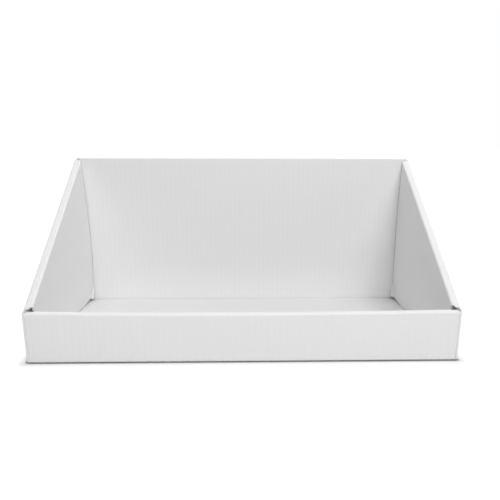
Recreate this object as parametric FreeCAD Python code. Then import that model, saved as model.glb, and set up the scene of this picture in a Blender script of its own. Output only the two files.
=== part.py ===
"""Counter display tray folded from one die-cut blank of white corrugated board.

The tray stands on its base. X runs along the width, Y from the low front wall to the high back wall,
and Z up. The origin is under the middle of the base. Every panel between two folds is a solid of its own.
Each side is a double wall with a slanted top: an outer panel, a narrow strip over the top, and an inner
panel that hangs from the strip. The front is a double wall too. The back is a single panel, whose two
corner flaps, and those of the front, stand between the plies of the sides.
"""
import FreeCAD, Part
import math
import os

Vector = FreeCAD.Vector

# Overall sizes, in millimetres
width = 430.0
depth = 190.0
back_height = 192.0
front_height = 51.0

# The corrugated board: its thickness, its two liners, the wavy medium, and one wave's length
board = 2.6
liner = 0.4
medium = 0.35
flute_pitch = 6.4
crushed_margin = 5.0       # the waves are pressed flat this far from a fold

# Folds: a turning panel has a rounded edge, and the panel beside it stops short of that edge
ply_gap = 0.2              # between the plies of a double wall
crease_gap = 0.2           # between a rounded edge and the panel beside it
turning_round_share = 0.45   # of the board, on both edges of a panel that turns
outer_round_share = 0.85     # of the board, on the outside of a fold

# Strips over the slanted sides
strip_setback = 6.0        # from the front face to the outer end of the strip
strip_taper = 1.3          # how much further back the strip's inner end lies

# Outer side panels
foot_rise = 1.6            # of the panel's front corner, above the front wall

# Inner side panels
front_corner_gap = 0.8     # to the inner panel of the front wall
back_corner_gap = 1.2      # to the back panel
sweep_room = 1.0           # above the front wall as the panel swings over it
corner_cut_height = 22.0   # the lower rear corner is cut away to this height
corner_cut_depth = 32.0
corner_bend_height = 5.0   # the cut bends here
corner_bend_depth = 18.0
corner_round = 3.0

# Inner panel of the front wall
front_end_gap = 0.5        # to the inner side panels

# Corner flaps
back_flap_length = 84.0
flap_lift = 2.2            # above the base
flap_top_gap = 1.2         # below the strip
flap_round = 4.0
front_flap_length_share = 0.74   # of the reach of the front wall
front_flap_end_share = 0.5       # height of the flap's free end, of the same reach

# Lock tabs of the inner panels, in slots of the base
tab_foot = 0.3             # from the underside of the base up to the tab
slot_gap = 0.4
tab_taper = 1.5
side_tab_length_share = 0.2      # of the panel's lower edge
side_tab_place_shares = (0.25, 0.75)
front_tab_length = 40.0
front_tab_spacing = 220.0

overrun = 10.0             # tools reach this far past what they cut

# Planes that the panels share
half_width = width / 2
front_face = -depth / 2
back_face = depth / 2
wall = 3 * board + 2 * ply_gap
side_outer_x = half_width - board
side_flap_x = side_outer_x - ply_gap - board
side_inner_x = half_width - wall
back_inner_face = back_face - board
front_inner_face = front_face + wall
ply_foot = board + ply_gap         # lower edge of what stands on the base
end_x = side_outer_x - ply_gap     # ends of the front and back panels

# The slanted fold runs from the height of the front wall at the front to that of the back panel
slant = math.atan2(back_height - front_height, depth)
strip_drop = board / math.cos(slant)     # the strip's thickness, measured upright

# Lines that the walls turn about, in the middle of the board
hinge_height = board / 2
back_hinge_y = back_face - board / 2
front_hinge_y = front_face + board / 2


def topside(y):
    """Height of the slanted strip's upper face."""
    return front_height + (y - front_face) * math.tan(slant)


def underside(y):
    """Height of the slanted strip's underside."""
    return topside(y) - strip_drop


class Frame:
    """A flat place for a panel: u and v lie in its plane, and n is its thickness direction."""

    def __init__(self, origin, u, v):
        self.origin = origin
        self.u = u
        self.v = v
        self.n = u.cross(v)

    def at(self, a, b, c=0):
        return self.origin + self.u * a + self.v * b + self.n * c

    def turned(self, angle):
        """The same plane, with u and v turned about n."""
        u = self.u * math.cos(angle) + self.v * math.sin(angle)
        v = self.v * math.cos(angle) - self.u * math.sin(angle)
        return Frame(self.origin, u, v)


X_AXIS = Vector(1, 0, 0)
Y_AXIS = Vector(0, 1, 0)
Z_AXIS = Vector(0, 0, 1)


def side_plane(x):
    """Plane of a side panel: u to the back, v up, thickness towards +X."""
    return Frame(Vector(x, 0, 0), Y_AXIS, Z_AXIS)


def cross_plane(y):
    """Plane of a front or back panel: u along Z, v along X, thickness towards +Y."""
    return Frame(Vector(0, y, 0), Z_AXIS, X_AXIS)


def plate(frame, outline, thickness):
    """A flat piece with straight sides, from the points of its outline."""
    points = [frame.at(a, b) for a, b in outline]
    face = Part.Face(Part.makePolygon(points + points[:1]))
    return face.extrude(frame.n * thickness)


def box(low, high):
    size = [top - bottom for bottom, top in zip(low, high)]
    return Part.makeBox(*size, Vector(*low))


def on_line(edge, start, end):
    """True where an edge lies along the line from start to end."""
    along = (end - start).normalize()
    tolerance = board / 1000
    return all((v.Point - start).cross(along).Length < tolerance for v in edge.Vertexes)


def rounded(shape, radius, *lines):
    """The shape with a fillet on each edge that lies on one of the lines."""
    picked = [e for e in shape.Edges if any(on_line(e, *line) for line in lines)]
    return shape.makeFillet(radius, picked)


def rounded_corners(frame, shape, radius, corners, thickness):
    """The shape with its outline rounded at some corners."""
    lines = [(frame.at(a, b), frame.at(a, b, thickness)) for a, b in corners]
    return rounded(shape, radius, *lines)


def flute_channels(frame, along, across):
    """Channels between the medium and the liners, as triangular prisms that run along u.

    Two channels share each wave: one open to the near liner, the next to the far one.
    """
    start, stop = along
    low, high = across
    depth_of_wave = board - 2 * liner - medium
    half_base = flute_pitch / 2 - medium
    prisms = []
    count = int((high - low) / flute_pitch)
    margin = (high - low - count * flute_pitch) / 2
    for step in range(2 * count - 1):
        centre = low + margin + (step + 1) * flute_pitch / 2
        base = liner if step % 2 == 0 else board - liner
        tip = base + depth_of_wave if step % 2 == 0 else base - depth_of_wave
        corners = [(centre - half_base, base), (centre + half_base, base), (centre, tip)]
        points = [frame.at(start, b, c) for b, c in corners]
        face = Part.Face(Part.makePolygon(points + points[:1]))
        prisms.append(face.extrude(frame.u * (stop - start)))
    return Part.Compound(prisms)


def fluted(panel, frame, along, across, zone=None):
    """The panel with its flute channels cut, inside a zone that keeps clear of the folds."""
    channels = flute_channels(frame, along, across)
    if zone is not None:
        channels = channels.common(zone)
    return panel.cut(channels)


def front_tab_centres():
    return [-front_tab_spacing / 2, front_tab_spacing / 2]


def inner_side_edge():
    """The ends of an inner side panel's lower edge, in Y."""
    front = front_inner_face + front_corner_gap
    start = front + (front_height + sweep_room - ply_foot) * math.tan(slant)
    return start, back_inner_face - back_corner_gap - corner_cut_depth


def side_tabs():
    """The middle and length of each lock tab along an inner side panel's lower edge."""
    start, stop = inner_side_edge()
    span = stop - start
    length = span * side_tab_length_share
    return [(start + span * share, length) for share in side_tab_place_shares]


def base_panel():
    """The floor of the tray, with a slot for every lock tab."""
    end = back_inner_face - crease_gap
    panel = box((-side_outer_x, -end, 0), (side_outer_x, end, board))
    slots = []
    for centre in front_tab_centres():
        reach = front_tab_length / 2 + slot_gap
        low = (centre - reach, front_inner_face - board - slot_gap, -overrun)
        slots.append(box(low, (centre + reach, front_inner_face + slot_gap, board + overrun)))
    for centre, length in side_tabs():
        reach = length / 2 + slot_gap
        low = (side_inner_x - slot_gap, centre - reach, -overrun)
        slot = box(low, (side_inner_x + board + slot_gap, centre + reach, board + overrun))
        slots += [slot, mirrored(slot)]
    return panel.cut(Part.Compound(slots))


def back_panel():
    """The high back wall: a rounded lower edge, a raw upper edge with open flutes."""
    panel = box((-end_x, back_inner_face, 0), (end_x, back_face, back_height))
    ends = [(Vector(x, back_face, 0), Vector(x, back_face, back_height)) for x in (-end_x, end_x)]
    panel = rounded(panel, turning_round_share * board, *ends)
    low_near = (Vector(-end_x, back_inner_face, 0), Vector(end_x, back_inner_face, 0))
    low_far = (Vector(-end_x, back_face, 0), Vector(end_x, back_face, 0))
    panel = rounded(panel, turning_round_share * board, low_near, low_far)
    return fluted(panel, cross_plane(back_inner_face),
                  (crushed_margin, back_height + overrun), (-end_x + crushed_margin, end_x - crushed_margin))


def back_flap():
    """Right corner flap of the back wall, under the slanted strip and clear of it as the wall folds back."""
    frame = side_plane(side_flap_x)
    reach = (underside(back_hinge_y) - hinge_height) * math.cos(slant)
    turning_reach = reach - flap_top_gap
    tip = back_inner_face - back_flap_length
    foot = board + flap_lift
    ahead = back_hinge_y - tip
    tip_height = underside(tip) - flap_top_gap / math.cos(slant)
    if ahead > reach * math.sin(slant):
        tip_height = hinge_height + math.sqrt(turning_reach ** 2 - ahead ** 2)
    root_height = underside(back_inner_face) - flap_top_gap / math.cos(slant)
    outline = [(back_inner_face, foot), (tip, foot), (tip, tip_height), (back_inner_face, root_height)]
    flap = rounded_corners(frame, plate(frame, outline, board), flap_round, outline[1:3], board)
    return fluted(flap, upright(frame), (-overrun, back_height + overrun),
                  (-back_inner_face + crushed_margin, -tip))


def upright(frame):
    """The same plane as a side plane, with u up and v to the front, for flutes that stand upright."""
    return frame.turned(math.pi / 2)


def front_reach():
    """How far from the front hinge a flap can stretch and still pass under the strip's end."""
    y = front_face + strip_setback
    return math.hypot(y - front_hinge_y, underside(y) - hinge_height) - flap_top_gap


def front_flap():
    """Right corner flap of the front wall, tapered so that it turns out from under the strip."""
    frame = side_plane(side_flap_x)
    root = front_face + board
    tip = front_hinge_y + front_reach() * front_flap_length_share
    foot = board + flap_lift
    tip_height = foot + front_reach() * front_flap_end_share
    root_height = front_height - board - flap_top_gap
    outline = [(root, foot), (tip, foot), (tip, tip_height), (root, root_height)]
    flap = rounded_corners(frame, plate(frame, outline, board), flap_round, outline[1:3], board)
    return fluted(flap, upright(frame), (-overrun, front_height + overrun),
                  (-tip, -root - crushed_margin))


def front_outer_panel():
    """The outer ply of the front wall, with a rounded lower edge that it turns on."""
    top = front_height - board
    panel = box((-end_x, front_face, 0), (end_x, front_face + board, top))
    ends = [(Vector(x, front_face, 0), Vector(x, front_face, top)) for x in (-end_x, end_x)]
    panel = rounded(panel, turning_round_share * board, *ends)
    low_near = (Vector(-end_x, front_face, 0), Vector(end_x, front_face, 0))
    low_far = (Vector(-end_x, front_face + board, 0), Vector(end_x, front_face + board, 0))
    return rounded(panel, turning_round_share * board, low_near, low_far)


def front_top_strip():
    """The narrow panel over the top of the front wall."""
    stop = front_inner_face - board - crease_gap
    strip = box((-end_x, front_face, front_height - board), (end_x, stop, front_height))
    front_edge = (Vector(-end_x, front_face, front_height), Vector(end_x, front_face, front_height))
    return rounded(strip, outer_round_share * board, front_edge)


def front_inner_panel():
    """The inner ply of the front wall, hanging from its rounded upper edge."""
    end = side_inner_x - front_end_gap
    near = front_inner_face - board
    panel = box((-end, near, ply_foot), (end, front_inner_face, front_height))
    tops = [(Vector(-end, y, front_height), Vector(end, y, front_height)) for y in (near, front_inner_face)]
    panel = rounded(panel, turning_round_share * board, *tops)
    return fluted(panel, cross_plane(near), (-overrun, front_height - crushed_margin), (-end, end))


def tab(frame, start, length, high):
    """A lock tab below an inner panel's lower edge: its free end is a little shorter."""
    outline = [(start, high), (start + tab_taper, tab_foot),
               (start + length - tab_taper, tab_foot), (start + length, high)]
    return plate(frame, outline, board)


def front_lock_tabs():
    """The two tabs that lock the front wall's inner panel in the base."""
    frame = Frame(Vector(0, front_inner_face, 0), X_AXIS, Z_AXIS)
    starts = [centre - front_tab_length / 2 for centre in front_tab_centres()]
    return Part.Compound([tab(frame, start, front_tab_length, ply_foot) for start in starts])


def side_lock_tabs():
    """The two tabs that lock the right inner side panel in the base."""
    frame = side_plane(side_inner_x)
    tabs = [tab(frame, centre - length / 2, length, ply_foot) for centre, length in side_tabs()]
    return Part.Compound(tabs)


def side_outer_panel():
    """The outer ply of the right side, with flutes that run from the front edge to the rear one.

    Ahead of the strip its upper edge is cut nearly level, as far as its rounded front corner.
    """
    frame = side_plane(side_outer_x)
    strip_start = front_face + strip_setback
    outline = [(front_face, 0), (back_face, 0), (back_face, underside(back_face)),
               (strip_start, underside(strip_start)), (front_face, front_height + foot_rise)]
    panel = rounded_corners(frame, plate(frame, outline, board), corner_round, outline[4:], board)
    fold = (Vector(half_width, front_face, 0), Vector(half_width, back_face, 0))
    panel = rounded(panel, outer_round_share * board, fold)
    past = depth + overrun
    drop = crushed_margin / math.cos(slant)
    zone = plate(frame, [(-past, crushed_margin), (past, crushed_margin),
                         (past, underside(past) - drop), (-past, underside(-past) - drop)], board)
    return fluted(panel, frame, (-past, past), (crushed_margin, underside(back_face)), zone)


def side_top_strip():
    """The slanted strip over the right side: tapered at the front, notched round the back panel."""
    stop_x = side_inner_x + board + crease_gap
    ends = (front_face, back_face)
    outline = [(y, underside(y)) for y in ends] + [(y, topside(y)) for y in reversed(ends)]
    slab = plate(side_plane(stop_x), outline, half_width - stop_x)
    fold = [Vector(half_width, y, topside(y)) for y in ends]
    slab = rounded(slab, outer_round_share * board, fold)
    plan = [(stop_x, front_face + strip_setback + strip_taper), (half_width, front_face + strip_setback),
            (half_width, back_face), (side_outer_x, back_face),
            (side_outer_x, back_inner_face - ply_gap), (stop_x, back_inner_face - ply_gap)]
    return slab.common(plate(Frame(Vector(), X_AXIS, Y_AXIS), plan, back_height + overrun))


def side_inner_panel():
    """The inner ply of the right side, hanging from its rounded slanted edge.

    Its front edge is cut square to that fold, so that it clears the front wall as it swings, and its
    lower rear corner is cut away. The blank's flutes reach it mirrored in the fold, so they stand steeply.
    """
    frame = side_plane(side_inner_x)
    front = front_inner_face + front_corner_gap
    rear = back_inner_face - back_corner_gap
    start, stop = inner_side_edge()
    outline = [(front, topside(front)), (front, front_height + sweep_room), (start, ply_foot),
               (stop, ply_foot), (rear - corner_bend_depth, ply_foot + corner_bend_height),
               (rear, ply_foot + corner_cut_height), (rear, topside(rear))]
    panel = rounded_corners(frame, plate(frame, outline, board), corner_round, outline[4:6], board)
    folds = [(Vector(x, front, topside(front)), Vector(x, rear, topside(rear)))
             for x in (side_inner_x, side_inner_x + board)]
    panel = rounded(panel, turning_round_share * board, *folds)
    past = depth + overrun
    drop = strip_drop + crushed_margin / math.cos(slant)
    zone = plate(frame, [(-past, -past), (past, -past),
                         (past, topside(past) - drop), (-past, topside(-past) - drop)], board)
    reach = depth + back_height
    return fluted(panel, frame.turned(2 * slant), (-reach, reach), (-reach, reach), zone)


def mirrored(shape):
    """The same piece on the left."""
    return shape.mirror(Vector(), X_AXIS)


def build():
    """Every piece by its name."""
    pieces = {
        "base_panel": base_panel(),
        "back_panel": back_panel(),
        "front_outer_panel": front_outer_panel(),
        "front_top_strip": front_top_strip(),
        "front_inner_panel": front_inner_panel(),
        "front_lock_tabs": front_lock_tabs(),
    }
    right = {
        "outer_panel": side_outer_panel(),
        "top_strip": side_top_strip(),
        "inner_panel": side_inner_panel(),
        "lock_tabs": side_lock_tabs(),
        "back_flap": back_flap(),
        "front_flap": front_flap(),
    }
    for name, shape in right.items():
        pieces["right_" + name] = shape
        pieces["left_" + name] = mirrored(shape)
    return pieces


os.makedirs("parts", exist_ok=True)
for name, shape in build().items():
    shape.exportStep("parts/" + name + ".step")
    print(name, "solids", len(shape.Solids), "volume", round(shape.Volume), "valid", shape.isValid())
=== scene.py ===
"""Counter display tray of white corrugated board, on a pale studio floor.

The tray is folded from one flat blank, and every piece here is a region of that blank: two liners with a wavy
medium between them, cut to an outline and folded up to its place. Lengths are in metres. On the blank, X and Y
lie in the board and the height starts at its outside face. The flutes run along Y. The right side is laid out,
and the left mirrors it.
"""
import math

import bmesh
import bpy
import numpy as np
from mathutils import Matrix, Vector


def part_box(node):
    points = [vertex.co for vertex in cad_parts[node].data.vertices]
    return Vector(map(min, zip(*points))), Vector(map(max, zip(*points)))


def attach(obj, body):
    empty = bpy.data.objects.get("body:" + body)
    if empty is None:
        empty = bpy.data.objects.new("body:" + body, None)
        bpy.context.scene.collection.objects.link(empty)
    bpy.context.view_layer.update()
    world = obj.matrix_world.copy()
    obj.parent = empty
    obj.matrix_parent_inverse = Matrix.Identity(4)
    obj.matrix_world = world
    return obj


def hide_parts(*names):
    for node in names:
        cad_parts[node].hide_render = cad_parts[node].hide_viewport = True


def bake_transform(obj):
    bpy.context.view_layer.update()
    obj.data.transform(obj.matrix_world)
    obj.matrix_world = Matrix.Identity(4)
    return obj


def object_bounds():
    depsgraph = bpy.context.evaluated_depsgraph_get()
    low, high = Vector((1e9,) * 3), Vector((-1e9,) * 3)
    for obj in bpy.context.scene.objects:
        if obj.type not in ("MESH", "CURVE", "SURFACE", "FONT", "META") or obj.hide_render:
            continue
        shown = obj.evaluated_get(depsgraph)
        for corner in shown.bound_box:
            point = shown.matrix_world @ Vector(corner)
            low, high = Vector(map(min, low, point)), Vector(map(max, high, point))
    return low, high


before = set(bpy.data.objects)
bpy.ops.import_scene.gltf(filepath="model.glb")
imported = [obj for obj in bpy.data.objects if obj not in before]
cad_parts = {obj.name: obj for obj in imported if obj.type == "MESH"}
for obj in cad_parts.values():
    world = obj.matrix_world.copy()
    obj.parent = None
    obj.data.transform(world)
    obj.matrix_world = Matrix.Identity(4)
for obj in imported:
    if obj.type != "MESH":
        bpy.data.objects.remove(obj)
cad_box = [list(corner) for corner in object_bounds()]

mm = 0.001

# Sizes of the tray, from the parts in model.glb
half_width, back_face, back_height = cad_box[1]
front_face = cad_box[0][1]
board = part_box("base_panel")[1].z
front_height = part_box("front_top_strip")[1].z
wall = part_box("front_inner_panel")[1].y - front_face
panel_overhang = 0.15 * mm    # of the front and back walls, past the ends of their nodes
panel_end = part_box("back_panel")[1].x + panel_overhang
front_inner_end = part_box("front_inner_panel")[1].x
ply_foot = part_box("front_inner_panel")[0].z
slant = math.atan2(back_height - front_height, back_face - front_face)

# The board: two liners with a wavy medium, whose waves show through the liners as a faint ripple
liner = 0.36 * mm
medium = 0.3 * mm
flute_pitch = 6.4 * mm
ripple = 0.04 * mm
columns_per_flute = 8

# Creases: the board is squeezed there, and turns in an arc
crease_outside = 2.1 * mm                # radius of the outside face
crease_middle = crease_outside - board / 2
quarter = math.pi / 2 * crease_middle    # length of the arc, in the middle of the board
squeeze_share = 0.42                     # how much thinner the board is in a crease
flap_outside = 0.6 * mm                  # a corner flap's fold is sharper
flap_middle = 0.35 * mm
flap_quarter = math.pi / 2 * flap_middle
flap_squeeze_share = 0.8
corner_outside = 1.6 * mm                # the outer side panel turns the front corner, to the front wall's end
corner_middle = 0.8 * mm
arc_steps = 6
squeeze_reach = 2.2 * mm
squeeze_lines = (1.4 * mm, 2.1 * mm, 2.9 * mm, 3.9 * mm, 5.2 * mm)
flat_edge = 0.4 * mm                     # the piece that holds a crease has this much flat board beside it

# Cut edges: the die has crushed the board there
crush_share, uncrushed = 0.36, 0.05
crush_reach = 0.9 * mm
crush_lines = (0.5 * mm, 1.1 * mm, 2.0 * mm)
crushed_length = 3.0 * mm                # edges longer than this get lines beside them
barely_shut, half_shut, well_shut = 0.2, 0.5, 0.97    # shares of the room between the liners that the medium
                                         # fills there

# Cut outlines
corner_steps = 4
foot_rise = 1.6 * mm          # the outer side panel's front corner, above the front wall
foot_round = 2.0 * mm
corner_gap = 0.08 * mm        # beside the front wall's end
strip_lead = 2.4 * mm         # how much further forward a side strip starts than its node
strip_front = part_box("right_top_strip")[0].y - front_face - strip_lead
strip_taper = 2.6 * mm        # how much further back its inner end lies
back_gap = 0.3 * mm           # between a side strip and the back wall
notch_share = 0.8             # of the crease's arc, beyond which the strip is notched for the back wall
corner_bend_depth = 7.5 * mm  # the cut-away lower rear corner of an inner side panel
corner_bend_height = 3.2 * mm
corner_cut_height = 26.0 * mm
corner_round = 2.0 * mm
flap_round = 4.0 * mm
flap_drop = 12.0 * mm         # of a front corner flap's upper edge, out of sight in the side wall
flap_lift = 1.2 * mm          # of a back corner flap's lower edge
inner_front_rise = 1.0 * mm   # of the inner side panel's front corner, above the front wall
tab_taper = 1.5 * mm
slot_gap = 0.4 * mm
tab_spacing = 5.0 * mm        # the tabs of a node are at least this far apart
foot_tolerance = 0.01 * mm    # points this near to the lowest one count as low

# How the board has settled
front_rise = 0.6 * mm         # of the front wall's top at its ends
front_sag = 1.8 * mm          # and how much lower it is in the middle
# The inner side panels' rear edges bulge to the inside: how far, and a number below 1 where it is most low down
bulges = {"left": (6.0 * mm, 0.6), "right": (2.0 * mm, 0.85)}
bulge_rearness = 2.4          # how much of the bulge is near the rear edge
bulge_fullness = 0.8          # below 1, it spreads up and down from its middle
bulge_step = 6.0 * mm
# The back corner flaps spring out at the inner side panels' cut corners
springs = {"left": 8.6 * mm, "right": 6.4 * mm}
spring_start = (2.4 * mm, 1.2 * mm)    # in full from here on, past the back wall and past the panel's edge
spring_step = 2.0 * mm
sharp_angle = math.radians(40)         # faces that meet at more than this have a hard edge


def topside(y):
    """Height of the slanted strip's upper face."""
    return front_height + (y - front_face) * math.tan(slant)


def foot_of_inner_panel():
    """Ends of an inner side panel's lower edge, from the lowest points of its node."""
    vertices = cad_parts["right_inner_panel"].data.vertices
    lowest = [vertex.co.y for vertex in vertices if vertex.co.z < ply_foot + foot_tolerance]
    return min(lowest), max(lowest)


inner_foot = foot_of_inner_panel()
inner_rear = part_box("right_inner_panel")[1].y
cut_corner = [(inner_foot[1], ply_foot), (inner_rear - corner_bend_depth, ply_foot + corner_bend_height),
              (inner_rear, ply_foot + corner_cut_height)]    # lower rear corner of an inner side panel, in Y and Z


class Fold:
    """A fold line of the blank. What lies beyond it, the way it heads, turns up through a quarter of a circle."""

    def __init__(self, point, heading, radius=crease_outside, middle=crease_middle, squeeze=squeeze_share):
        self.point = np.array(point)
        self.heading = np.array(heading)
        self.along = np.array((-heading[1], heading[0]))
        self.radius, self.middle, self.squeeze = radius, middle, squeeze
        self.quarter = math.pi / 2 * middle

    def at(self, along, run):
        """A point of the blank: along the line, and past it."""
        return self.point + self.along * along + self.heading * run

    def run(self, points):
        """How far points of the blank lie past the line."""
        return (points[:, :2] - self.point) @ self.heading

    def turned(self, points, angle, rest):
        run = self.run(points)
        radius = self.radius - points[:, 2]
        out = points.copy()
        out[:, :2] += np.outer(radius * np.sin(angle) - run, self.heading)
        out[:, 2] = self.radius - radius * np.cos(angle) + rest
        return out

    def bent(self, points):
        """For a region that the crease runs through."""
        run = self.run(points)
        angle = np.clip(run / self.middle, 0, math.pi / 2)
        folded = self.turned(points, angle, np.maximum(run - self.quarter, 0))
        return np.where(run[:, None] > 0, folded, points)

    def lifted(self, points):
        """For a region that lies wholly beyond the crease."""
        return self.turned(points, np.full(len(points), math.pi / 2), self.run(points) - self.quarter)


def wall_run(height):
    """How far past the base's edge a height on an outer wall lies on the blank."""
    return quarter + height - crease_outside


# The base's edges, and the folds from the base outwards
base_x = half_width - crease_outside
base_y = back_face - crease_outside
flap_x = panel_end - flap_outside
flap_start = back_face - flap_outside
strip_width = wall - 2 * crease_outside

back_fold = Fold((0, base_y), (0, 1))
front_fold = Fold((0, -base_y), (0, -1))
front_top_fold = Fold((0, -base_y - wall_run(front_height - crease_outside)), (0, -1))
front_inner_fold = Fold(front_top_fold.at(0, quarter + strip_width), (0, -1))
flap_fold = Fold((flap_x, 0), (1, 0), flap_outside, flap_middle, flap_squeeze_share)
far_flap_fold = Fold((-flap_x, 0), (-1, 0), flap_outside, flap_middle, flap_squeeze_share)
corner_fold = Fold((0, front_face + corner_outside), (0, -1), corner_outside, corner_middle)
side_fold = Fold((base_x, 0), (1, 0))
far_side_fold = Fold((-base_x, 0), (-1, 0))
side_top_height = front_height - crease_outside / math.cos(slant)    # of the fold's axis, at the front face
side_top_fold = Fold((base_x + wall_run(side_top_height), front_face), (math.cos(slant), -math.sin(slant)))
side_inner_fold = Fold(side_top_fold.at(0, quarter + strip_width), side_top_fold.heading)

# The folds that a region passes or borders on, from the far end to the base
BASE_FOLDS = (side_fold, far_side_fold, front_fold, back_fold)
BACK_FOLDS = (flap_fold, far_flap_fold, back_fold)
FRONT_FOLDS = (flap_fold, far_flap_fold, front_top_fold, front_fold)
FRONT_ROLL_FOLDS = (front_inner_fold, front_top_fold, front_fold)
SIDE_FOLDS = (side_inner_fold, side_top_fold, side_fold)


def placed(points, folds):
    """Where points of one region of the blank come to lie, as the tray is folded."""
    tolerance = quarter / 1000
    runs = [fold.run(points) for fold in folds]
    for fold, run in zip(folds, runs):
        if run.min() > fold.quarter - tolerance:
            points = fold.lifted(points)
        elif run.max() > tolerance:
            points = fold.bent(points)
    return points


# Points of the blank, from places on the folded tray

def on_front(x, z):
    return (x, -base_y - wall_run(z))


def on_back(x, z):
    return (x, base_y + wall_run(z))


def on_front_inner(x, z):
    return (x, front_inner_fold.at(0, quarter + front_height - crease_outside - z)[1])


def on_side(y, z):
    return (base_x + wall_run(z), y)


def on_strip(y, run):
    """A place on a side strip, where the plan's Y is that of its upper face."""
    along = (y - front_face + crease_outside * math.sin(slant)) / math.cos(slant)
    return tuple(side_top_fold.at(along, run))


def on_side_inner(y, z):
    ahead, up = y - front_face, z - side_top_height
    along = ahead * math.cos(slant) + up * math.sin(slant)
    above = up * math.cos(slant) - ahead * math.sin(slant)
    return tuple(side_inner_fold.at(along, quarter - above))


def on_flap(root, y, z):
    """A place on a corner flap of the front or back wall; root is that wall's function."""
    ahead = flap_start - abs(y)
    return (flap_x + flap_quarter + ahead, root(0, z)[1])


def rounded(outline, radii):
    """The outline with an arc in place of each corner that has a radius."""
    points = []
    for index, radius in enumerate(radii):
        corner = Vector(outline[index])
        before = (Vector(outline[index - 1]) - corner).normalized()
        after = (Vector(outline[(index + 1) % len(outline)]) - corner).normalized()
        if radius == 0:
            points.append(tuple(corner))
            continue
        half = before.angle(after) / 2
        centre = corner + (before + after).normalized() * (radius / math.sin(half))
        reach = radius / math.tan(half)
        start, end = corner + before * reach - centre, corner + after * reach - centre
        for step in range(corner_steps + 1):
            points.append(tuple(centre + start.slerp(end, step / corner_steps) * radius))
    return points


def counterclockwise(outline):
    """The outline, in the order that turns its face up."""
    twice_area = sum(a[0] * b[1] - b[0] * a[1] for a, b in zip(outline, outline[1:] + outline[:1]))
    return outline if twice_area > 0 else outline[::-1]


def cut_edges(outlines, folds):
    """The edges of the outlines, as pairs of points, that the next region doesn't carry on from."""
    edges = []
    for outline in outlines:
        for ends in zip(outline, outline[1:] + outline[:1]):
            ends = np.array(ends)
            runs = [fold.run(ends) for fold in folds]
            borders = [abs(run[0] - run[1]) < flat_edge / 100
                       and -2 * flat_edge < run[0] < fold.quarter + 2 * flat_edge for fold, run in zip(folds, runs)]
            if not any(borders):
                edges.append(ends)
    return edges


def distance_to(edge, points):
    start, end = edge
    share = np.clip((points[:, :2] - start) @ (end - start) / np.dot(end - start, end - start), 0, 1)
    nearest = start + share[:, None] * (end - start)
    return np.linalg.norm(points[:, :2] - nearest, axis=1)


def sliced(mesh, faces, heading, offsets):
    """Cuts faces along parallel lines at these distances along the heading."""
    across = Vector((*heading, 0))
    done = []
    for offset in sorted(offsets):
        geometry = {item for face in faces for item in (face, *face.edges, *face.verts)}
        cut = bmesh.ops.bisect_plane(mesh, geom=list(geometry), plane_co=across * offset, plane_no=across)
        parts = [item for item in cut["geom"] if isinstance(item, bmesh.types.BMFace)]
        faces = [face for face in parts if face.calc_center_median().dot(across) > offset]
        done += [face for face in parts if face.calc_center_median().dot(across) <= offset]
    return done + faces


def slicing_lines(points, folds, cuts, steps_along_y):
    """The lines that a region is cut along, by their heading: per step of a flute, row, arc, squeeze and crush."""
    first, last = points[:, 0].min(), points[:, 0].max()
    column = flute_pitch / columns_per_flute
    lines = [((1, 0), [column * n for n in range(math.ceil(first / column), math.ceil(last / column))])]
    rows = np.arange(points[:, 1].min(), points[:, 1].max(), steps_along_y)[1:] if steps_along_y else []
    lines.append(((0, 1), list(rows)))
    for fold in folds:
        run = fold.run(points)
        runs = [fold.quarter * step / arc_steps for step in range(arc_steps + 1)]
        runs += [fold.quarter / 2 + side * reach for reach in squeeze_lines for side in (-1, 1)]
        within = [r for r in runs if run.min() < r < run.max()]
        lines.append((tuple(fold.heading), [fold.point @ fold.heading + r for r in within]))
    for start, end in cuts:
        length = np.linalg.norm(end - start)
        if length > crushed_length:
            inwards = np.array((start[1] - end[1], end[0] - start[0])) / length
            lines.append((tuple(inwards), [start @ inwards + reach for reach in crush_lines]))
    return lines


def cells(outlines, folds, cuts, holes, steps_along_y):
    """A flat region as small faces: their points, faces and rim edges."""
    mesh = bmesh.new()
    faces = [mesh.faces.new([mesh.verts.new((x, y, 0)) for x, y in outline]) for outline in outlines]
    points = np.array([vertex.co for vertex in mesh.verts])
    lines = slicing_lines(points, folds, cuts, steps_along_y)
    for low, high in holes:
        lines.append(((1, 0), [low[0], high[0]]))
        lines.append(((0, 1), [low[1], high[1]]))
    for heading, offsets in lines:
        faces = sliced(mesh, faces, heading, offsets)
    inside = [face for face in faces for low, high in holes
              if all(low[axis] < face.calc_center_median()[axis] < high[axis] for axis in (0, 1))]
    bmesh.ops.delete(mesh, geom=inside, context="FACES")
    mesh.verts.index_update()
    flat = np.array([vertex.co for vertex in mesh.verts])
    polygons = [[vertex.index for vertex in face.verts] for face in mesh.faces]
    rim = [(loop.vert.index, loop.link_loop_next.vert.index)
           for face in mesh.faces for loop in face.loops if loop.edge.is_boundary]
    mesh.free()
    return flat, polygons, rim


OUTSIDE, INSIDE, MEDIUM, CUT = range(4)    # material slots of a piece


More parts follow.
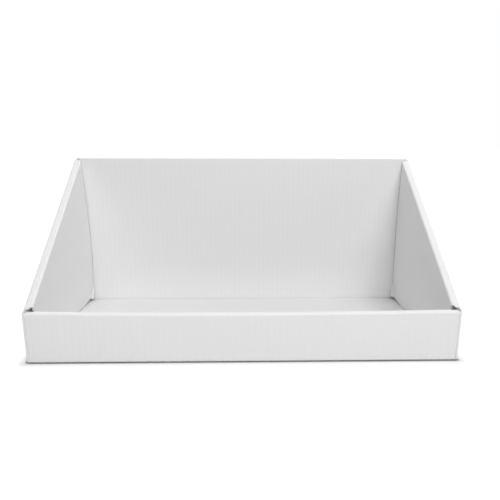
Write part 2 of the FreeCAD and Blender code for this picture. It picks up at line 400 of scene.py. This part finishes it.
def layers(flat, folds, cuts, crush, shut):
    """How creased each point is, and each layer's lower and upper heights with the material of its faces.

    At a cut edge the board is crushed by a share of its thickness. Where the edge runs across the flutes, the
    medium is mashed too, so that it fills a share of the room between the liners.
    """
    squeezed, thinned, nearness, mashed = np.zeros((4, len(flat)))
    for fold in folds:
        near = np.exp(-((fold.run(flat) - fold.quarter / 2) / squeeze_reach) ** 2)
        squeezed = np.maximum(squeezed, near)
        thinned = np.maximum(thinned, fold.squeeze * near)
    for start, end in cuts:
        near = np.exp(-(distance_to((start, end), flat) / crush_reach) ** 2)
        nearness = np.maximum(nearness, near)
        mashed = np.maximum(mashed, shut * near * abs(end - start)[0] / np.linalg.norm(end - start))
    crushed = crush * nearness * (1 - squeezed)
    wave = np.cos(2 * math.pi * flat[:, 0] / flute_pitch)
    thickness = board * (1 - thinned - crushed)
    room = thickness / 2 - liner
    outside = board * crushed / 2 + ripple * (1 - squeezed) * (1 - wave) / 2
    inside = board * crushed / 2 + thickness - ripple * (1 - squeezed) * (1 + wave) / 2
    middle = board * crushed / 2 + thickness / 2 - (room - medium / 2) * wave * (1 - mashed)
    half = medium / 2 * (1 - mashed) + room * mashed
    return squeezed, [
        (outside, outside + liner, OUTSIDE, MEDIUM),
        (middle - half, middle + half, MEDIUM, MEDIUM),
        (inside - liner, inside, MEDIUM, INSIDE),
    ]


def board_piece(name, outlines, folds, materials, beside=(), only=(0, 1, 2), holes=(), steps_along_y=0,
                crush=crush_share, shut=half_shut, settle=None, mirrored=False):
    """One piece of the folded tray, as closed sheets of board. Folds beside it squeeze it, but don't turn it."""
    creases = (*folds, *beside)
    outlines = [counterclockwise(outline) for outline in outlines]
    cuts = cut_edges(outlines, creases)
    flat, polygons, rim = cells(outlines, creases, cuts, holes, steps_along_y)
    squeezed, stack = layers(flat, creases, cuts, crush, shut)
    points, faces, slots = [], [], []
    for low, high, low_slot, high_slot in (stack[index] for index in only):
        start = len(points) * len(flat)
        top = start + len(flat)
        for heights in (low, high):
            points.append(placed(np.column_stack((flat[:, :2], heights)), folds))
        faces += [[start + index for index in reversed(polygon)] for polygon in polygons]
        faces += [[top + index for index in polygon] for polygon in polygons]
        faces += [(start + a, start + b, top + b, top + a) for a, b in rim]
        slots += [low_slot] * len(polygons) + [high_slot] * len(polygons) + [CUT] * len(rim)
    sheets = len(points)
    points = np.concatenate(points)
    if settle is not None:
        points = settle(points)
    if mirrored:
        points = points * (-1, 1, 1)
        faces = [face[::-1] for face in faces]
    mesh = bpy.data.meshes.new(name)
    mesh.from_pydata(points.tolist(), [], faces)
    mesh.polygons.foreach_set("material_index", slots)
    for label, values in (("flute", flat[:, 0] / flute_pitch), ("crease", squeezed)):
        attribute = mesh.attributes.new(label, "FLOAT", "POINT")
        attribute.data.foreach_set("value", np.tile(values, sheets).astype(np.float32))
    mesh.shade_smooth()
    mesh.set_sharp_from_angle(angle=sharp_angle)
    for material in materials:
        mesh.materials.append(material)
    piece = bpy.data.objects.new(name, mesh)
    bpy.context.scene.collection.objects.link(piece)
    return piece


def sagging(points):
    """The front wall's top rises at its ends and dips in the middle."""
    out = points.copy()
    across = 1 - (points[:, 0] / panel_end) ** 2
    out[:, 2] += (front_rise - front_sag * across) * np.clip(points[:, 2] / front_height, 0, 1)
    return out


def bulge_at(points, bulge, lowness):
    """How far an inner side panel bulges to the inside, most of all at its rear edge."""
    x, y, z = points.T
    back = np.clip((y - front_face) / (back_face - front_face), 0, 1)
    up = np.clip((z - ply_foot) / (topside(y) - ply_foot), 0, 1)
    return bulge * back ** bulge_rearness * np.abs(np.sin(math.pi * up ** lowness)) ** bulge_fullness


def eased(share):
    """A share from 0 to 1 that starts and ends gently."""
    return share ** 2 * (3 - 2 * share)


def bulging(bulge, lowness):
    """An inner side panel, or a crease or tab that goes with it."""
    return lambda points: points - np.outer(bulge_at(points, bulge, lowness), (1, 0, 0))


def springing(spring, bulge, lowness):
    """A back corner flap bulges with the inner side panel, and springs out further below its cut-away corner."""
    def settle(points):
        x, y, z = points.T
        below = np.full(len(points), -np.inf)
        for start, end in zip(cut_corner, cut_corner[1:]):
            along = np.subtract(end, start) / np.linalg.norm(np.subtract(end, start))
            below = np.maximum(below, (y - start[0]) * along[1] - (z - start[1]) * along[0])
        ahead, below = (np.clip(run / reach, 0, 1) for run, reach in
                        zip((back_face - board - y, below), spring_start))
        inwards = np.maximum(bulge_at(points, bulge, lowness), spring * eased(below))
        return points - np.outer(inwards * eased(ahead), (1, 0, 0))
    return settle


# Materials

cloud_size, cloud_detail = 14 * mm, 3.0
fibre_size, fibre_detail = 0.7 * mm, 5.0
noise_roughness = 0.6
roughness_spread = 0.12       # between fibres
crease_polish = 0.05          # how much less rough a crease is
fibre_bump, fibre_height = 0.35, 0.02 * mm
paper_specular = 0.35


def node(tree, kind, **values):
    """A new node with its inputs and properties set by name."""
    made = tree.nodes.new(kind)
    for name, value in values.items():
        if name in made.inputs:
            made.inputs[name].default_value = value
        else:
            setattr(made, name, value)
    return made


def maths(tree, operation, first, second):
    """A maths node of two values, each a socket or a number."""
    made = tree.nodes.new("ShaderNodeMath")
    made.operation = operation
    for socket, value in zip(made.inputs, (first, second)):
        if isinstance(value, bpy.types.NodeSocket):
            tree.links.new(value, socket)
        else:
            socket.default_value = value
    return made.outputs[0]


def paper(name, colour, grain, mottle, flute_shade, roughness):
    """Coated paper: cloudy mottle, fine fibre grain, painted shade in faint lines where the flutes lie, creases
    rubbed smooth.
    """
    material = bpy.data.materials.new(name)
    material.use_nodes = True
    tree = material.node_tree
    shader = tree.nodes["Principled BSDF"]
    place = tree.nodes.new("ShaderNodeTexCoord").outputs["Object"]

    def noise(scale, detail):
        made = node(tree, "ShaderNodeTexNoise", Scale=scale, Detail=detail, Roughness=noise_roughness)
        tree.links.new(place, made.inputs["Vector"])
        return made.outputs["Fac"]

    def centred(socket, amount):
        return maths(tree, "MULTIPLY", maths(tree, "SUBTRACT", socket, 0.5), amount)

    clouds = centred(noise(1 / cloud_size, cloud_detail), mottle)
    fibres = noise(1 / fibre_size, fibre_detail)
    phase = node(tree, "ShaderNodeAttribute", attribute_name="flute").outputs["Fac"]
    crease = node(tree, "ShaderNodeAttribute", attribute_name="crease").outputs["Fac"]
    # Painted shade: the colour is lighter and darker with the flute's phase, which deepens the shading of the
    # washboard ripple
    lines = maths(tree, "COSINE", maths(tree, "MULTIPLY", phase, 2 * math.pi), 0)
    shade = maths(tree, "ADD", clouds, centred(fibres, grain))
    shade = maths(tree, "ADD", shade, maths(tree, "MULTIPLY", lines, flute_shade))
    shade = maths(tree, "ADD", shade, 1.0)
    tint = node(tree, "ShaderNodeVectorMath", operation="SCALE")
    tint.inputs[0].default_value = colour
    tree.links.new(shade, tint.inputs["Scale"])
    tree.links.new(tint.outputs[0], shader.inputs["Base Color"])

    rough = maths(tree, "ADD", centred(fibres, roughness_spread), roughness)
    rough = maths(tree, "SUBTRACT", rough, maths(tree, "MULTIPLY", crease, crease_polish))
    tree.links.new(rough, shader.inputs["Roughness"])
    bump = node(tree, "ShaderNodeBump", Strength=fibre_bump, Distance=fibre_height)
    tree.links.new(fibres, bump.inputs["Height"])
    tree.links.new(bump.outputs["Normal"], shader.inputs["Normal"])
    shader.inputs["Specular IOR Level"].default_value = paper_specular
    return material


PAPERS = (    # in the order of the material slots
    paper("coated_liner", (0.88, 0.88, 0.88), grain=0.03, mottle=0.018, flute_shade=0.004, roughness=0.58),
    paper("inside_liner", (0.83, 0.83, 0.83), grain=0.035, mottle=0.02, flute_shade=0.005, roughness=0.64),
    paper("fluting", (0.78, 0.775, 0.765), grain=0.06, mottle=0.03, flute_shade=0.0, roughness=0.75),
    paper("cut_edge", (0.85, 0.848, 0.845), grain=0.06, mottle=0.02, flute_shade=0.0, roughness=0.8),
)


# Pieces

def add(name, body, node_name, slot, outlines, folds, **options):
    """A piece that stands for a node: it goes with the node's body, and the node is hidden."""
    piece = board_piece(name, outlines, folds, PAPERS, **options)
    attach(piece, body)
    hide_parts(node_name)


def add_pair(name, body, slot, outlines, folds, settles=None, **options):
    """A piece on the right side and its mirror image on the left."""
    for side in ("right", "left"):
        if settles:
            options["settle"] = settles[side]
        own_body = body.replace("side", side)
        add(f"{side}_{name}_board", own_body, f"{side}_{name}", slot, outlines, folds,
            mirrored=side == "left", **options)


def add_crease(name, bodies, slot, outline, folds, **options):
    """The board in a fold that moves: an outside and an inside liner, each a piece of its own."""
    for label, layer, height in (("outside", 0, 0), ("inside", 2, board * (1 - squeeze_share))):
        piece = board_piece(f"{name}_{label}", [outline], folds, PAPERS, only=(layer,), **options)
        ends = [np.array([[*folds[0].at(0, run), height]]) for run in (0, quarter)]
        side = -1 if options.get("mirrored") else 1
        start, end = (placed(point, folds)[0] * (side, 1, 1) for point in ends)
        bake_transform(piece)


BULGING = {side: bulging(*bulge) for side, bulge in bulges.items()}
SPRINGING = {side: springing(spring, *bulges[side]) for side, spring in springs.items()}


def spans(node_name, axis):
    """First and last coordinate of each separate solid of a node, along an axis."""
    values = sorted(vertex.co[axis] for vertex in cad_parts[node_name].data.vertices)
    breaks = [i for i in range(1, len(values)) if values[i] - values[i - 1] > tab_spacing]
    starts = [0, *breaks]
    ends = [*breaks, len(values)]
    return [(values[a], values[b - 1]) for a, b in zip(starts, ends)]


def rectangle(x, y):
    return [(x[0], y[0]), (x[1], y[0]), (x[1], y[1]), (x[0], y[1])]


def slots_in_base():
    """The slots of the lock tabs, as low and high corners."""
    found = []
    low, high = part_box("front_lock_tabs")
    for first, last in spans("front_lock_tabs", 0):
        found.append(((first - slot_gap, low.y - slot_gap), (last + slot_gap, high.y + slot_gap)))
    for side in ("left", "right"):
        low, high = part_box(f"{side}_lock_tabs")
        for first, last in spans(f"{side}_lock_tabs", 1):
            found.append(((low.x - slot_gap, first - slot_gap), (high.x + slot_gap, last + slot_gap)))
    return found


def build_base():
    edge_x, edge_y = base_x - flat_edge, base_y - flat_edge
    outline = rectangle((-edge_x, edge_x), (-edge_y, edge_y))
    add("base_board", "base", "base_panel", "board_base", [outline], BASE_FOLDS, holes=slots_in_base())


def build_back():
    end = flap_x + flap_quarter
    outline = rectangle((-end, end), (on_back(0, crease_outside + flat_edge)[1], on_back(0, back_height)[1]))
    add("back_board", "back_wall", "back_panel", "board_back", [outline], BACK_FOLDS,
        shut=barely_shut)
    outline = rectangle((-panel_end, panel_end), (base_y - flat_edge, base_y + quarter + flat_edge))
    add_crease("back_crease", ("base", "back_wall"), "board_back", outline, (back_fold,))

    low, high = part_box("right_back_flap")
    hinge_y, hinge_z = back_face - board / 2, board / 2
    top_gap = (topside(high.y) - board / math.cos(slant) - high.z) * math.cos(slant)
    reach = (topside(hinge_y) - board / math.cos(slant) - hinge_z) * math.cos(slant) - top_gap
    tip_z = hinge_z + math.sqrt(reach ** 2 - (hinge_y - low.y) ** 2)
    foot = low.z + flap_lift
    corners = [(flap_start, foot), (low.y, foot), (low.y, tip_z), (flap_start, high.z)]
    outline = rounded([on_flap(on_back, y, z) for y, z in corners], (0, flap_round, flap_round, 0))
    add_pair("back_flap", "back_wall", "board_back", [outline], BACK_FOLDS, settles=SPRINGING,
             steps_along_y=spring_step)


def build_front():
    end = flap_x + flap_quarter
    foot, top = crease_outside + flat_edge, front_height - crease_outside - flat_edge
    outline = rectangle((-end, end), (on_front(0, top)[1], on_front(0, foot)[1]))
    add("front_outer_board", "front_wall", "front_outer_panel", "board_front", [outline], FRONT_FOLDS,
        settle=sagging)
    start, stop = front_top_fold.at(0, -flat_edge)[1], front_inner_fold.at(0, -flat_edge)[1]
    outline = rectangle((-panel_end, panel_end), (stop, start))
    add("front_strip_board", "front_wall", "front_top_strip", "board_front", [outline], FRONT_ROLL_FOLDS,
        crush=uncrushed, settle=sagging)
    outline = rectangle((-panel_end, panel_end), (-base_y - quarter - flat_edge, -base_y + flat_edge))
    add_crease("front_crease", ("base", "front_wall"), "board_front", outline, (front_fold,), settle=sagging)

    start, stop = (front_inner_fold.at(0, run)[1] for run in (-flat_edge, quarter + flat_edge))
    outline = rectangle((-front_inner_end, front_inner_end), (stop, start))
    add_crease("front_roll_crease", ("front_wall", "front_inner"), "board_front", outline, FRONT_ROLL_FOLDS,
               settle=sagging)
    foot = on_front_inner(0, ply_foot)[1]
    outline = rectangle((-front_inner_end, front_inner_end), (foot, stop))
    add("front_inner_board", "front_inner", "front_inner_panel", "board_front", [outline], FRONT_ROLL_FOLDS,
        settle=sagging)
    tip = on_front_inner(0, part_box("front_lock_tabs")[0].z)[1]
    tabs = [[(first, foot), (first + tab_taper, tip), (last - tab_taper, tip), (last, foot)]
            for first, last in spans("front_lock_tabs", 0)]
    add("front_tab_boards", "front_inner", "front_lock_tabs", "board_front", tabs, FRONT_ROLL_FOLDS,
        settle=sagging)

    low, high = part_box("right_front_flap")
    top, tip_z = high.z - flap_drop, low.z + (high.z - low.z) / 2
    corners = [(-flap_start, low.z), (high.y, low.z), (high.y, tip_z), (-flap_start, top)]
    outline = rounded([on_flap(on_front, y, z) for y, z in corners], (0, flap_round, flap_round, 0))
    add_pair("front_flap", "front_wall", "board_front", [outline], FRONT_FOLDS, shut=0)


def build_sides():
    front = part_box("right_inner_panel")[0].y
    strip_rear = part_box("back_panel")[0].y - back_gap
    arc_start, arc_end = -flat_edge, quarter + flat_edge
    strip_end = quarter + strip_width - flat_edge

    outer_front = on_strip(front_face + strip_front, arc_start)
    rear_along = (back_face - front_face + arc_start * math.sin(slant)) / math.cos(slant)
    rear_top = tuple(side_top_fold.at(rear_along, arc_start))
    corner = corner_fold.at(0, corner_fold.quarter + half_width - corner_outside - panel_end - corner_gap)[1]
    foot = [on_side(y, front_height + rise) for y, rise in
            ((front_face + strip_front, foot_rise), (front_face + corner_outside, foot_rise), (corner, 0))]
    outline = [(base_x - flat_edge, corner), (base_x - flat_edge, back_face), rear_top, outer_front, *foot]
    outline = rounded(outline, (0, 0, 0, 0, 0, foot_round, 0))
    add_pair("outer_panel", "base", "board_side", [outline], (corner_fold, side_fold), beside=(side_top_fold,),
             crush=uncrushed, shut=well_shut)

    notch = notch_share * quarter
    outline = [outer_front, rear_top, tuple(side_top_fold.at(rear_along, notch)), on_strip(strip_rear, notch),
               on_strip(strip_rear, strip_end), on_strip(front_face + strip_front + strip_taper, strip_end)]
    add_pair("top_strip", "base", "board_side", [outline], SIDE_FOLDS, shut=well_shut)

    top = crease_outside / math.cos(slant)
    inner_top = [on_side_inner(y, topside(y) - top) for y in (front, inner_rear)]
    inner_top = [tuple(np.array(point) + side_inner_fold.heading * flat_edge) for point in inner_top]
    outline = [outline[5], outline[4], inner_top[1], inner_top[0]]
    for side in ("right", "left"):
        add_crease(f"{side}_roll_crease", ("base", f"{side}_inner"), "board_side", outline, SIDE_FOLDS,
                   mirrored=side == "left", settle=BULGING[side])

    tab_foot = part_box("right_lock_tabs")[0].z
    corners = [(front, front_height + inner_front_rise), (inner_foot[0], ply_foot), *cut_corner]
    outline = [inner_top[0], *(on_side_inner(y, z) for y, z in corners), inner_top[1]]
    outline = rounded(outline, (0, 0, 0, 0, corner_round, corner_round, 0))
    add_pair("inner_panel", "side_inner", "board_side", [outline], SIDE_FOLDS, steps_along_y=bulge_step,
             shut=0, settles=BULGING)
    tabs = []
    for first, last in spans("right_lock_tabs", 1):
        corners = [(first, ply_foot), (first + tab_taper, tab_foot), (last - tab_taper, tab_foot), (last, ply_foot)]
        tabs.append([on_side_inner(y, z) for y, z in corners])
    add_pair("lock_tabs", "side_inner", "board_side", tabs, SIDE_FOLDS, settles=BULGING)


build_base()
build_back()
build_front()
build_sides()


# Studio

WHITE = (1, 1, 1, 1)
ambient = 0.045
floor_reach = 12.0
floor_gap = 0.05 * mm
floor_colour = 0.8
floor_seen_colour = 0.95      # as the camera sees it
floor_roughness, floor_specular = 0.9, 0.1
floor_glow = 1.08
glow_reach = (1.5 * mm, 12 * mm)    # distances from the tray, between which the glow comes in
glow_share = (0.1, 0.95)      # of the floor's look, there
contact_shadow_reach = 3.5 * mm      # how far the painted contact shadow, a dark line under the tray's edges, spreads
contact_shadow_power, contact_shadow_samples = 4, 8

# Each lamp's name, place, target, size and power
LAMPS = (
    ("key", (0, -1.8, 1.4), (0, 0, 0.08), (1.8, 1.0), 14),
    ("key_right", (0.9, -1.8, 1.4), (0, 0, 0.08), (1.2, 1.0), 12),
    ("high", (0.3, -1.2, 2.0), (0, 0, 0.08), (1.2, 1.0), 11),
    ("right", (1.9, -0.3, 1.1), (0, 0, 0.08), (1.2, 1.0), 1.6),
    ("top_left", (-0.9, 0.1, 2.0), (0, 0, 0), (1.2, 1.2), 3.5),
    ("top_right", (0.9, 0.1, 2.0), (0, 0, 0), (1.2, 1.2), 4.5),
    ("behind", (0, 1.2, 1.8), (0, 0, 0), (1.6, 1.2), 17),
)

# The photo's view, found from the straight edges of the tray
camera_lens, sensor_width = 34.64, 36.0
clip_start, clip_end = 0.01, 100
camera_place = (-4.97 * mm, -537.89 * mm, 216.02 * mm)
camera_angles = (12.931, 1.337, 0.173)    # down, to the right and rolled, in degrees


def mixed(tree, share, first, second):
    """The output of a mix of two shaders."""
    mix = tree.nodes.new("ShaderNodeMixShader")
    for socket, output in zip(mix.inputs, (share, first, second)):
        tree.links.new(output, socket)
    return mix.outputs[0]


def studio_world():
    """Dim light from all around, behind which the background shows white."""
    world = bpy.data.worlds.new("studio")
    bpy.context.scene.world = world
    world.use_nodes = True
    tree = world.node_tree
    light = tree.nodes["Background"]
    light.inputs["Color"].default_value = WHITE
    light.inputs["Strength"].default_value = ambient
    seen = node(tree, "ShaderNodeBackground", Color=WHITE, Strength=1.0)
    path = tree.nodes.new("ShaderNodeLightPath")
    shown = maths(tree, "MAXIMUM", path.outputs["Is Camera Ray"], path.outputs["Is Glossy Ray"])
    shown = maths(tree, "MAXIMUM", shown, path.outputs["Is Transmission Ray"])
    surface = mixed(tree, shown, light.outputs[0], seen.outputs[0])
    tree.links.new(surface, tree.nodes["World Output"].inputs["Surface"])


def distance_from_tray(tree):
    """How far a point of the floor lies from the tray's rectangle."""
    place = tree.nodes.new("ShaderNodeSeparateXYZ")
    tree.links.new(tree.nodes.new("ShaderNodeTexCoord").outputs["Object"], place.inputs[0])
    beyond = [maths(tree, "MAXIMUM", maths(tree, "SUBTRACT", maths(tree, "ABSOLUTE", axis, 0), half), 0)
              for axis, half in zip(place.outputs, (half_width, back_face))]
    return maths(tree, "SQRT", maths(tree, "ADD", *(maths(tree, "POWER", part, 2) for part in beyond)), 0)


def floor_material():
    """A pale floor. What the camera sees of it glows evenly away from the tray, so that it is white there, and near
    the tray it carries a painted contact shadow, darkened by ambient occlusion.
    """
    material = bpy.data.materials.new("floor")
    material.use_nodes = True
    tree = material.node_tree
    lit = tree.nodes["Principled BSDF"]
    seen = tree.nodes.new("ShaderNodeBsdfPrincipled")
    lit.inputs["Base Color"].default_value = (floor_colour, floor_colour, floor_colour, 1)
    # Painted contact shadow: near the tray, the colour the camera sees is darkened by ambient occlusion
    contact = node(tree, "ShaderNodeAmbientOcclusion", Distance=contact_shadow_reach, samples=contact_shadow_samples)
    shade = maths(tree, "POWER", contact.outputs["AO"], contact_shadow_power)
    tree.links.new(maths(tree, "MULTIPLY", shade, floor_seen_colour), seen.inputs["Base Color"])
    for shader in (lit, seen):
        shader.inputs["Roughness"].default_value = floor_roughness
        shader.inputs["Specular IOR Level"].default_value = floor_specular
    glow = node(tree, "ShaderNodeEmission", Color=WHITE, Strength=floor_glow)
    fade = node(tree, "ShaderNodeMapRange", interpolation_type="SMOOTHSTEP")
    tree.links.new(distance_from_tray(tree), fade.inputs["Value"])
    for name, value in zip(("From Min", "From Max", "To Min", "To Max"), (*glow_reach, *glow_share)):
        fade.inputs[name].default_value = value
    pale = mixed(tree, fade.outputs["Result"], seen.outputs[0], glow.outputs[0])
    path = tree.nodes.new("ShaderNodeLightPath")
    surface = mixed(tree, path.outputs["Is Camera Ray"], lit.outputs[0], pale)
    tree.links.new(surface, tree.nodes["Material Output"].inputs["Surface"])
    return material


def studio_floor():
    mesh = bpy.data.meshes.new("floor")
    made = bmesh.new()
    bmesh.ops.create_grid(made, x_segments=1, y_segments=1, size=floor_reach)
    made.to_mesh(mesh)
    made.free()
    mesh.materials.append(floor_material())
    floor = bpy.data.objects.new("floor", mesh)
    floor.location.z = -floor_gap
    bpy.context.scene.collection.objects.link(floor)


def area_light(name, place, target, size, power):
    lamp = bpy.data.lights.new(name, "AREA")
    lamp.shape = "RECTANGLE"
    lamp.size, lamp.size_y = size
    lamp.energy = power
    holder = bpy.data.objects.new(name, lamp)
    holder.location = place
    holder.rotation_euler = (Vector(target) - Vector(place)).to_track_quat("-Z", "Y").to_euler()
    bpy.context.scene.collection.objects.link(holder)


def photo_camera():
    data = bpy.data.cameras.new("camera")
    data.sensor_width = sensor_width
    data.lens = camera_lens
    data.clip_start, data.clip_end = clip_start, clip_end
    camera = bpy.data.objects.new("camera", data)
    camera.location = camera_place
    down, right, roll = (math.radians(angle) for angle in camera_angles)
    turn = Matrix.Rotation(-right, 4, "Z") @ Matrix.Rotation(math.pi / 2 - down, 4, "X")
    camera.rotation_euler = (turn @ Matrix.Rotation(roll, 4, "Z")).to_euler()
    bpy.context.scene.collection.objects.link(camera)
    bpy.context.scene.camera = camera


bpy.context.scene.view_settings.view_transform = "Standard"
studio_world()
studio_floor()
for row in LAMPS:
    area_light(*row)
photo_camera()
